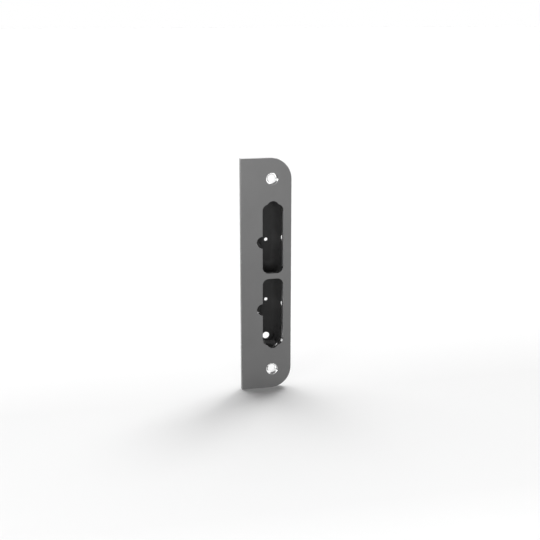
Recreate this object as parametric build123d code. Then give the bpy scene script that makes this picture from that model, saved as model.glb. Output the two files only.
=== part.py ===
from build123d import *
import math
import os

# A door strike plate: a flat metal face plate with two openings, and a moulded dust box with a
# pocket behind each opening.
# Millimetres. X runs to the right, Y into the door frame, Z up. The origin is on the plate's back
# face, midway between the two screw holes. Each pair of features is a mirror image about Z = 0,
# and each height below is that of the upper one.

# Face plate
plate_height = 200.0
plate_width = 43.0
plate_thickness = 5.0
plate_corner_radius = 18.0
plate_edge_break = 0.3

# Countersunk screw holes of the plate
screw_from_left = 26.4
screw_from_end = 17.3
screw_hole_diameter = 6.8
countersink_diameter = 10.0
countersink_angle = 90.0

# Openings of the plate, and the box behind them
centreline_from_left = 27.2
opening_width = 17.6
opening_corner_radius = 5.2
opening_from_end = 38.7
bridge_width = 4.8

# Round nub at an opening's outer end, where a frame screw's head and its driver pass
nub_radius = 5.2
nub_from_end = 41.2

# Slanted round bay at an opening's left edge, where a driver reaches the side hole
bay_radius = 5.2
bay_from_end = 70.8
bay_slant = 30.0
bay_shift = 0.9

# Strike box
box_wall = 1.5
flange_thickness = 1.5
flange_margin = 4.0
flange_corner_radius = 7.0
pocket_depth = 18.0
pocket_corner_radius = 9.5
pocket_back_radius = 7.5
nub_bore_clearance = 0.4

# Holes of the strike box
frame_hole_diameter = 6.2
frame_hole_from_end = 40.2
pilot_hole_diameter = 3.0
pilot_from_end = 73.3
side_hole_diameter = 4.8
side_hole_depth = 9.3
side_hole_slant = 45.0

# Shallow relief in a pocket's right wall, round the side hole
relief_depth = 0.5
relief_from_end = 49.4
relief_height = 32.4

# Sizes and places that follow from those above
half_height = plate_height / 2
plate_centre = plate_width / 2 - screw_from_left
centreline = centreline_from_left - screw_from_left
screw_height = half_height - screw_from_end
nub_height = half_height - nub_from_end
frame_hole_height = half_height - frame_hole_from_end
bay_height = half_height - bay_from_end
pilot_height = half_height - pilot_from_end
relief_centre = half_height - relief_from_end - relief_height / 2
opening_inner = bridge_width / 2
opening_outer = half_height - opening_from_end
pocket_margin = (bridge_width - box_wall) / 2
pocket_half_width = opening_width / 2 + pocket_margin
pocket_inner = opening_inner - pocket_margin
pocket_outer = opening_outer + pocket_margin
nub_bore_radius = nub_radius + nub_bore_clearance
flange_half_width = pocket_half_width + flange_margin
flange_half_height = nub_height + nub_bore_radius + flange_margin
overrun = plate_width


def upright(y):
    """Plane across the depth at y, X to the right and Z up; its normal points to the front."""
    return Plane(origin=(0, y, 0), x_dir=(1, 0, 0), z_dir=(0, -1, 0))


def both_ends(shape):
    """The shape at the upper end with its mirror image at the lower end."""
    return shape + mirror(shape, about=Plane.XY)


def on_centreline(shape):
    """The shape moved from X = 0 to the openings' centreline."""
    return Pos(centreline, 0, 0) * shape


def bore(radius, z, front, back):
    """A round bore at X = 0 and height z, along the depth."""
    return Pos(0, (front + back) / 2, z) * Rot(90, 0, 0) * Cylinder(radius, back - front)


def slanted_bore(radius, x, y, z, slant, length):
    """A round bore through x, y, z that leans to the right with depth."""
    return Pos(x, y, z) * Rot(0, 0, -slant) * Rot(90, 0, 0) * Cylinder(radius, length)


def plate_blank():
    """The plate without its holes, square on the left and round-cornered on the right."""
    outline = upright(0) * Pos(plate_centre, 0) * Rectangle(plate_width, plate_height)
    right_corners = outline.vertices().group_by(Axis.X)[-1]
    blank = extrude(fillet(right_corners, plate_corner_radius), plate_thickness)
    front_face = blank.faces().sort_by(Axis.Y)[0]
    return chamfer(front_face.outer_wire().edges(), plate_edge_break)


def screw_hole():
    """A countersunk screw hole, its cone opening to the front."""
    rim = countersink_diameter / 2
    shank = screw_hole_diameter / 2
    cone_depth = (rim - shank) / math.tan(math.radians(countersink_angle / 2))
    cone = Rot(90, 0, 0) * Cone(shank, rim, cone_depth)
    cone_place = Pos(0, cone_depth / 2 - plate_thickness, screw_height)
    return bore(shank, screw_height, -overrun, overrun) + cone_place * cone


def opening():
    """A round-cornered slot with the nub at its outer end."""
    centre = (opening_inner + opening_outer) / 2
    length = opening_outer - opening_inner
    slot = Pos(0, centre) * RectangleRounded(opening_width, length, opening_corner_radius)
    nub = Pos(0, nub_height) * Circle(nub_radius)
    return extrude(upright(overrun / 2) * (slot + nub), overrun)


def bay():
    """The slanted round cut at an opening's left edge."""
    centre = bay_shift - opening_width / 2
    return slanted_bore(bay_radius, centre, -plate_thickness, bay_height, bay_slant, overrun)


def face_plate():
    """The plate with its screw holes, openings and bays."""
    windows = both_ends(opening()) + both_ends(bay())
    return plate_blank() - both_ends(screw_hole()) - on_centreline(windows)


def cup(wall):
    """A pocket grown by a wall thickness: 0 gives the hollow, box_wall the outside."""
    length = pocket_outer - pocket_inner + 2 * wall
    width = 2 * (pocket_half_width + wall)
    depth = pocket_depth + wall
    middle = (pocket_inner + pocket_outer) / 2
    outline = Pos(0, middle) * RectangleRounded(width, length, pocket_corner_radius + wall)
    body = extrude(upright(depth) * outline, depth)
    back_face = body.faces().sort_by(Axis.Y)[-1]
    body = fillet(back_face.outer_wire().edges(), pocket_back_radius + wall)
    return body + bore(nub_bore_radius + wall, nub_height, 0, depth)


def relief():
    """The wider stretch of a pocket's right wall, between two low steps."""
    width = pocket_half_width + relief_depth
    section = Pos(width / 2, pocket_depth / 2) * Rectangle(width, pocket_depth)
    back_right = section.vertices().sort_by(Axis.X)[-2:].sort_by(Axis.Y)[-1]
    section = fillet(back_right, pocket_back_radius)
    low_step = relief_centre - relief_height / 2
    block = extrude(Pos(0, 0, low_step) * section, relief_height)
    return block & Pos(0, flange_thickness + overrun / 2, 0) * Box(overrun, overrun, plate_height)


def side_hole():
    """The slanted screw hole through a pocket's right wall, in line with the bay."""
    radius = side_hole_diameter / 2
    wall_face = pocket_half_width + relief_depth
    length = 2 * pocket_half_width
    return slanted_bore(radius, wall_face, side_hole_depth, bay_height, side_hole_slant, length)


def back_holes():
    """The frame hole and the pilot hole through a pocket's back wall, in line with the screws."""
    frame_hole = bore(frame_hole_diameter / 2, frame_hole_height, 0, overrun)
    return frame_hole + bore(pilot_hole_diameter / 2, pilot_height, 0, overrun)


def bay_mouth():
    """The part of the bay's slanted cut that bites into the box's flange."""
    front_left = Pos(-overrun / 2, 0, 0) * Box(overrun, pocket_depth / 2, plate_height)
    return bay() & front_left


def flange():
    """The flat flange that lies on the plate's back."""
    outline = RectangleRounded(2 * flange_half_width, 2 * flange_half_height, flange_corner_radius)
    return extrude(upright(flange_thickness) * outline, flange_thickness)


def strike_box():
    """The moulded box: flange, two cups that share a web, and all their holes."""
    hollow = cup(0) + relief() + side_hole() + bay_mouth()
    body = on_centreline(flange() + both_ends(cup(box_wall)) - both_ends(hollow))
    return body - both_ends(back_holes())


os.makedirs("parts", exist_ok=True)
export_step(face_plate(), "parts/face_plate.step")
export_step(strike_box(), "parts/strike_box.step")
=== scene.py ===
import math

import bmesh
import bpy
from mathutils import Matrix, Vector


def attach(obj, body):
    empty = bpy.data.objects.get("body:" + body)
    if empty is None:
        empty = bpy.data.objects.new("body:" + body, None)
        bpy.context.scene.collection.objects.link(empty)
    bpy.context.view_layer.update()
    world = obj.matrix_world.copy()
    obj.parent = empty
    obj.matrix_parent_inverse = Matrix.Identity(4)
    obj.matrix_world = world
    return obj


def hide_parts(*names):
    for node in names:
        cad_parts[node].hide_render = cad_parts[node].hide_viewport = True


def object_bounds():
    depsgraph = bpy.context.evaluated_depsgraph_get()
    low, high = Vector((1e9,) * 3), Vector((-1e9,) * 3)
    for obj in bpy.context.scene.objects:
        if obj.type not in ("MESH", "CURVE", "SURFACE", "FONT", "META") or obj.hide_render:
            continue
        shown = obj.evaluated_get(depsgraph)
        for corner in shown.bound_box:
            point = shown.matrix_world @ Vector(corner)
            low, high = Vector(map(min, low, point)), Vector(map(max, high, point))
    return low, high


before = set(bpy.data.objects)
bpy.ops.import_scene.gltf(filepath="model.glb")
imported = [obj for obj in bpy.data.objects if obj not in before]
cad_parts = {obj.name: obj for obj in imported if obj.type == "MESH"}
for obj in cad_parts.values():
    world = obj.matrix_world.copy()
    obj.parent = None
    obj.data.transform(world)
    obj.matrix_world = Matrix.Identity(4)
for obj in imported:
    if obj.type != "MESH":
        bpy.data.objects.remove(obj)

# A door strike plate stands on its lower end on a pale floor, in a white studio.
# Metres. X runs to the right, Y into the door frame, Z up.

MM = 0.001
cad_low, cad_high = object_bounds()

# Camera
VIEW_YAW = math.radians(13.26)
VIEW_PITCH = math.radians(14.6)
VIEW_DISTANCE = 0.8384
VIEW_TARGET = Vector((-0.00061, 0.0, 0.00412))
FRAME_PIXELS = 540
FOCAL_PIXELS = 990.9
SENSOR_WIDTH = 36.0

# Edge rounding
PLATE_EDGE = 0.18 * MM
BOX_EDGE = 0.15 * MM
SHARP_ANGLE = math.radians(32)

# Points this close are one, and faces this close to level with each other are one
MERGE_DISTANCE = 0.001 * MM
MERGE_ANGLE = math.radians(0.05)

# The plate's kinds of face, in the order of its materials
FACE, ROUND_WALL, SIDE, END, STRAIGHT_WALL = range(5)

# Where the plate's holes lie: at least this far from its sides and ends
SIDE_MARGIN = 3.0 * MM
END_MARGIN = 11.0 * MM

# How much of a face's normal lies along an axis, for a flat face and for a straight wall
FLAT_LIMIT = 0.95
STRAIGHT_LIMIT = 0.9999

# Finishes: each shade from dark to light, each roughness from smooth to rough
FACE_SHADE = (0.181, 0.191)
FACE_ROUGHNESS = (0.46, 0.54)
WALL_SHADE = (0.80, 0.86)
TURNED_ROUGHNESS = (0.11, 0.15)
MILLED_ROUGHNESS = (0.40, 0.46)
# The sides' shade is their cut metal, lighter than the face partly as painted sheen; the ends' shade is
# painted light, far lighter, as light falls on the top end
SIDE_SHADE_AND_SHEEN = (0.30, 0.34)
END_PAINTED_LIGHT = (0.78, 0.84)
EDGE_ROUGHNESS = (0.22, 0.30)
MOULDING_SHADE = (0.045, 0.051)
MOULDING_ROUGHNESS = (0.42, 0.50)
MOULDING_SPECULAR = 0.15

# The range that most of a noise's values lie in
NOISE_RANGE = (0.3, 0.7)

# The floor's colour: darker at the object as painted shade, lighter far off, changing between two
# distances in Y from a line
FLOOR_PAINTED_SHADE = (0.79, 0.92)
FLOOR_LINE = (0.0, -0.12, 0.0)
FLOOR_STRETCH = (0.10, 0.28)

# The floor's size, and how much it glows
FLOOR_HALF_SIZE = 20.0
FLOOR_GLOW = 0.035

# The floor as metal and moulding reflect it: its shade, and the even part of its brightness
FLOOR_MIRRORED_SHADE = 0.3
FLOOR_MIRRORED_GLOW = 0.32

# The surroundings: how much they light, and how bright they look
WORLD_LIGHT = 0.08
WORLD_SEEN = 1.0

# Grey cards that only metal and moulding reflect: name, place, half size and brightness
GREY_CARDS = (
    ("upper_card", (-0.55, -0.35, 0.9), (1.35, 0.45), 0.2),
    ("lower_card", (-0.40, -0.14, cad_low.z + 0.5 * MM), (0.34, 0.16), 0.12),
)

# Even lights from behind: name, azimuth clockwise from the back and width in degrees, strength
SUN_ELEVATION = math.radians(54)
BACK_LIGHTS = (
    ("broad_back_light", 19, 60, 2.20),
    ("right_back_light", 45, 20, 0.96),
    ("left_back_light", 325, 36, 0.75),
)

# Soft lamps turned to the object: name, place, size and power
SOFT_LAMPS = (
    ("front_light", (-0.15, -1.4, 0.14), 0.8, 4.6),
    ("side_light", (-1.05, -1.1, 0.05), 0.5, 9.0),
)


def new_object(name, mesh):
    """A mesh object of the scene, at the origin."""
    piece = bpy.data.objects.new(name, mesh)
    bpy.context.scene.collection.objects.link(piece)
    return piece


def mesh_from(name, edit):
    """The mesh of a bmesh, which is freed."""
    mesh = bpy.data.meshes.new(name)
    edit.to_mesh(mesh)
    edit.free()
    return mesh


def apply_modifiers(piece):
    """Put what the piece's modifiers make into its mesh."""
    graph = bpy.context.evaluated_depsgraph_get()
    mesh = bpy.data.meshes.new_from_object(piece.evaluated_get(graph))
    piece.modifiers.clear()
    piece.data = mesh


# Node trees of the materials

def new_material(name):
    """A material with an empty tree, and its output."""
    material = bpy.data.materials.new(name)
    material.use_nodes = True
    tree = material.node_tree
    tree.nodes.clear()
    output = tree.nodes.new("ShaderNodeOutputMaterial")
    return material, tree, output


def object_coordinates(tree, scale):
    """Object coordinates times a scale for each axis."""
    place = tree.nodes.new("ShaderNodeTexCoord")
    stretch = tree.nodes.new("ShaderNodeVectorMath")
    stretch.operation = "MULTIPLY"
    stretch.inputs[1].default_value = scale
    tree.links.new(place.outputs["Object"], stretch.inputs[0])
    return stretch.outputs[0]


def noise(tree, scale, detail, roughness=0.5):
    """A noise over object coordinates, with its own scale for each axis in waves per metre."""
    texture = tree.nodes.new("ShaderNodeTexNoise")
    texture.inputs["Scale"].default_value = 1.0
    texture.inputs["Detail"].default_value = detail
    texture.inputs["Roughness"].default_value = roughness
    tree.links.new(object_coordinates(tree, scale), texture.inputs["Vector"])
    return texture.outputs["Fac"]


def spread(tree, value, to_range, from_range=NOISE_RANGE):
    """A value brought from one range into another."""
    span = tree.nodes.new("ShaderNodeMapRange")
    span.inputs["From Min"].default_value, span.inputs["From Max"].default_value = from_range
    span.inputs["To Min"].default_value, span.inputs["To Max"].default_value = to_range
    tree.links.new(value, span.inputs["Value"])
    return span.outputs["Result"]


def bumped(tree, height, strength, distance):
    """A bump of that height map."""
    bump = tree.nodes.new("ShaderNodeBump")
    bump.inputs["Strength"].default_value = strength
    bump.inputs["Distance"].default_value = distance
    tree.links.new(height, bump.inputs["Height"])
    return bump.outputs["Normal"]


def tinted(tree, value, shade, from_range=NOISE_RANGE):
    """A grey between two levels, by a value."""
    level = spread(tree, value, shade, from_range)
    grey = tree.nodes.new("ShaderNodeCombineColor")
    for channel in ("Red", "Green", "Blue"):
        tree.links.new(level, grey.inputs[channel])
    return grey.outputs["Color"]


def solid_material(name, metallic):
    """A material for the object's pieces, with its tree and its one shader."""
    material, tree, output = new_material(name)
    shader = tree.nodes.new("ShaderNodeBsdfPrincipled")
    shader.inputs["Metallic"].default_value = metallic
    tree.links.new(shader.outputs["BSDF"], output.inputs["Surface"])
    return material, tree, shader


def satin_metal():
    """The plate's front and back: satin metal with a fine upright grain."""
    material, tree, shader = solid_material("satin_metal", 1.0)
    grain = noise(tree, (9000.0, 9000.0, 260.0), 3.0)
    cloud = noise(tree, (60.0, 60.0, 40.0), 3.0)
    tree.links.new(tinted(tree, cloud, FACE_SHADE), shader.inputs["Base Color"])
    tree.links.new(spread(tree, grain, FACE_ROUGHNESS), shader.inputs["Roughness"])
    tree.links.new(bumped(tree, grain, 0.12, 0.02 * MM), shader.inputs["Normal"])
    return material


def cut_metal(name, roughness):
    """The walls of the plate's holes: bare bright metal, with tool marks along the wall."""
    material, tree, shader = solid_material(name, 1.0)
    lines = noise(tree, (300.0, 12000.0, 300.0), 2.0)
    cloud = noise(tree, (220.0, 220.0, 220.0), 3.0)
    tree.links.new(tinted(tree, cloud, WALL_SHADE), shader.inputs["Base Color"])
    tree.links.new(spread(tree, cloud, roughness), shader.inputs["Roughness"])
    tree.links.new(bumped(tree, lines, 0.25, 0.01 * MM), shader.inputs["Normal"])
    return material


def edge_metal(name, shade):
    """The plate's sides or ends: the same metal cut through, in a shade given for each; the sides'
    shade holds painted sheen, and the ends' shade is painted light.
    """
    material, tree, shader = solid_material(name, 1.0)
    lines = noise(tree, (500.0, 9000.0, 500.0), 2.0)
    cloud = noise(tree, (120.0, 120.0, 120.0), 3.0)
    tree.links.new(tinted(tree, cloud, shade), shader.inputs["Base Color"])
    tree.links.new(spread(tree, cloud, EDGE_ROUGHNESS), shader.inputs["Roughness"])
    tree.links.new(bumped(tree, lines, 0.04, 0.02 * MM), shader.inputs["Normal"])
    return material


def black_moulding():
    """The box: black moulded plastic with a fine spark-eroded grain."""
    material, tree, shader = solid_material("black_moulding", 0.0)
    grain = noise(tree, (5200.0, 5200.0, 5200.0), 4.0, 0.6)
    cloud = noise(tree, (90.0, 90.0, 90.0), 3.0)
    shader.inputs["Specular IOR Level"].default_value = MOULDING_SPECULAR
    tree.links.new(tinted(tree, cloud, MOULDING_SHADE), shader.inputs["Base Color"])
    tree.links.new(spread(tree, cloud, MOULDING_ROUGHNESS), shader.inputs["Roughness"])
    tree.links.new(bumped(tree, grain, 0.06, 0.02 * MM), shader.inputs["Normal"])
    return material


# The two pieces, refined from the solids

def merged_copy(node):
    """The node's surface as one closed mesh, with its flat faces made whole."""
    edit = bmesh.new()
    edit.from_mesh(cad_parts[node].data)
    bmesh.ops.remove_doubles(edit, verts=edit.verts, dist=MERGE_DISTANCE)
    bmesh.ops.dissolve_limit(edit, angle_limit=MERGE_ANGLE, verts=edit.verts, edges=edit.edges,
                             delimit={"NORMAL"})
    return edit


def finish_piece(piece, node, width):
    """Round the piece's sharp edges, smooth its curved walls and put it in the node's place."""
    rounding = piece.modifiers.new("edge_rounding", "BEVEL")
    rounding.width = width
    rounding.segments = 2
    rounding.limit_method = "ANGLE"
    rounding.angle_limit = SHARP_ANGLE
    rounding.use_clamp_overlap = True
    even = piece.modifiers.new("even_shading", "WEIGHTED_NORMAL")
    even.keep_sharp = True
    piece.data.shade_smooth()
    apply_modifiers(piece)
    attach(piece, "root")
    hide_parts(node)


def metal_of(face):
    """Which of the plate's materials a face takes."""
    if abs(face.normal.y) > FLAT_LIMIT:
        return FACE
    centre = face.calc_center_median()
    within_width = cad_low.x + SIDE_MARGIN < centre.x < cad_high.x - SIDE_MARGIN
    within_height = abs(centre.z) < cad_high.z - END_MARGIN
    if within_width and within_height:
        return STRAIGHT_WALL if abs(face.normal.x) > STRAIGHT_LIMIT else ROUND_WALL
    return END if abs(face.normal.z) > FLAT_LIMIT else SIDE


def face_plate():
    """The metal plate: satin outside, bright in its holes, and cut at its sides and ends."""
    edit = merged_copy("face_plate")
    for face in edit.faces:
        face.material_index = metal_of(face)
    piece = new_object("plate", mesh_from("plate", edit))
    piece.data.materials.append(satin_metal())
    piece.data.materials.append(cut_metal("turned_metal", TURNED_ROUGHNESS))
    # Side and end copies of one cut metal: the sides lightened as painted sheen, the ends as painted
    # light
    piece.data.materials.append(edge_metal("side_metal_and_sheen", SIDE_SHADE_AND_SHEEN))
    piece.data.materials.append(edge_metal("end_metal_painted_light", END_PAINTED_LIGHT))
    piece.data.materials.append(cut_metal("milled_metal", MILLED_ROUGHNESS))
    finish_piece(piece, "face_plate", PLATE_EDGE)


def strike_box():
    """The moulded box behind the plate."""
    piece = new_object("box", mesh_from("box", merged_copy("strike_box")))
    piece.data.materials.append(black_moulding())
    finish_piece(piece, "strike_box", BOX_EDGE)


# Studio

def background_switch(tree, lit, plain, rays):
    """The plain shader for the named kinds of ray, and the lit one for all others."""
    path = tree.nodes.new("ShaderNodeLightPath")
    share = path.outputs[rays[0]]
    for kind in rays[1:]:
        either = tree.nodes.new("ShaderNodeMath")
        either.operation = "MAXIMUM"
        tree.links.new(share, either.inputs[0])
        tree.links.new(path.outputs[kind], either.inputs[1])
        share = either.outputs[0]
    mix = tree.nodes.new("ShaderNodeMixShader")
    tree.links.new(share, mix.inputs[0])
    tree.links.new(lit, mix.inputs[1])
    tree.links.new(plain, mix.inputs[2])
    return mix.outputs[0]


def emission(tree, strength):
    """A shader that glows evenly."""
    glow = tree.nodes.new("ShaderNodeEmission")
    glow.inputs["Strength"].default_value = strength
    return glow.outputs[0]


def added(tree, one, other):
    """Two shaders on top of each other."""
    both = tree.nodes.new("ShaderNodeAddShader")
    tree.links.new(one, both.inputs[0])
    tree.links.new(other, both.inputs[1])
    return both.outputs[0]


def studio_world():
    """White surroundings for the eye and for reflections, and a soft even light."""
    world = bpy.data.worlds.new("studio")
    bpy.context.scene.world = world
    world.use_nodes = True
    tree = world.node_tree
    tree.nodes.clear()
    light = tree.nodes.new("ShaderNodeBackground")
    light.inputs["Strength"].default_value = WORLD_LIGHT
    plain = tree.nodes.new("ShaderNodeBackground")
    plain.inputs["Strength"].default_value = WORLD_SEEN
    plain.inputs["Color"].default_value = (1.0, 1.0, 1.0, 1.0)
    output = tree.nodes.new("ShaderNodeOutputWorld")
    rays = ("Is Camera Ray", "Is Glossy Ray", "Is Transmission Ray")
    switch = background_switch(tree, light.outputs[0], plain.outputs[0], rays)
    tree.links.new(switch, output.inputs["Surface"])


def pale_paper():
    """The floor's material: paper with painted shade, darker near the object and whitening away from
    it, before and behind.
    """
    material, tree, output = new_material("pale_floor")
    paper = tree.nodes.new("ShaderNodeBsdfDiffuse")
    away = tree.nodes.new("ShaderNodeVectorMath")
    away.operation = "DISTANCE"
    away.inputs[1].default_value = FLOOR_LINE
    tree.links.new(object_coordinates(tree, (0.0, 1.0, 0.0)), away.inputs[0])
    # Painted shade: the paper's colour darkens near the object's line
    shade = tinted(tree, away.outputs["Value"], FLOOR_PAINTED_SHADE, FLOOR_STRETCH)
    tree.links.new(shade, paper.inputs["Color"])
    glowing = added(tree, paper.outputs[0], emission(tree, FLOOR_GLOW))
    seen = background_switch(tree, paper.outputs[0], glowing, ("Is Camera Ray",))
    dim_paper = tree.nodes.new("ShaderNodeBsdfDiffuse")
    dim_paper.inputs["Color"].default_value = (FLOOR_MIRRORED_SHADE,) * 3 + (1.0,)
    mirrored = added(tree, dim_paper.outputs[0], emission(tree, FLOOR_MIRRORED_GLOW))
    switch = background_switch(tree, seen, mirrored, ("Is Glossy Ray", "Is Transmission Ray"))
    tree.links.new(switch, output.inputs["Surface"])
    return material


def pale_floor():
    """A pale floor under the plate's lower end, which keeps the object's shadow."""
    edit = bmesh.new()
    bmesh.ops.create_grid(edit, x_segments=1, y_segments=1, size=FLOOR_HALF_SIZE)
    floor = new_object("floor", mesh_from("floor", edit))
    floor.location.z = cad_low.z
    floor.data.materials.append(pale_paper())


def grey_card(name, place, half_size, brightness):
    """A level grey card, which only metal and moulding reflect."""
    material, tree, output = new_material(name)
    tree.links.new(emission(tree, brightness), output.inputs["Surface"])
    edit = bmesh.new()
    bmesh.ops.create_grid(edit, x_segments=1, y_segments=1, size=1.0)
    bmesh.ops.scale(edit, vec=(*half_size, 1.0), verts=edit.verts)
    card = new_object(name, mesh_from(name, edit))
    card.location = place
    card.data.materials.append(material)
    card.visible_camera = False
    card.visible_diffuse = False
    card.visible_shadow = False


def new_light(name, kind):
    """A light of that kind, and the object that holds it."""
    lamp = bpy.data.lights.new(name, kind)
    holder = bpy.data.objects.new(name, lamp)
    bpy.context.scene.collection.objects.link(holder)
    return lamp, holder


def soft_lamp(name, place, size, power):
    """A square soft light at a place, turned to the object."""
    lamp, holder = new_light(name, "AREA")
    lamp.shape = "SQUARE"
    lamp.size = size
    lamp.energy = power
    holder.location = place
    holder.rotation_euler = (-Vector(place)).to_track_quat("-Z", "Y").to_euler()
    holder.visible_camera = False


def wide_sun(name, azimuth, width, strength):
    """An even light over the whole floor, so many degrees wide, its azimuth clockwise from the back."""
    around = math.radians(azimuth)
    level = math.cos(SUN_ELEVATION)
    direction = (math.sin(around) * level, math.cos(around) * level, math.sin(SUN_ELEVATION))
    lamp, holder = new_light(name, "SUN")
    lamp.angle = math.radians(width)
    lamp.energy = strength
    holder.rotation_euler = (-Vector(direction)).to_track_quat("-Z", "Y").to_euler()
    holder.visible_glossy = False


def camera():
    """The camera at the photograph's viewing angle."""
    forward = Vector((math.sin(VIEW_YAW) * math.cos(VIEW_PITCH),
                      math.cos(VIEW_YAW) * math.cos(VIEW_PITCH),
                      -math.sin(VIEW_PITCH)))
    lens = bpy.data.cameras.new("camera")
    lens.sensor_width = SENSOR_WIDTH
    lens.lens = FOCAL_PIXELS * SENSOR_WIDTH / FRAME_PIXELS
    lens.clip_start = 0.01
    lens.clip_end = 100.0
    eye = bpy.data.objects.new("camera", lens)
    bpy.context.scene.collection.objects.link(eye)
    eye.location = VIEW_TARGET - VIEW_DISTANCE * forward
    eye.rotation_euler = forward.to_track_quat("-Z", "Y").to_euler()
    bpy.context.scene.camera = eye


face_plate()
strike_box()
studio_world()
pale_floor()
for light in BACK_LIGHTS:
    wide_sun(*light)
for light in SOFT_LAMPS:
    soft_lamp(*light)
for card in GREY_CARDS:
    grey_card(*card)
camera()
bpy.context.scene.view_settings.view_transform = "Standard"
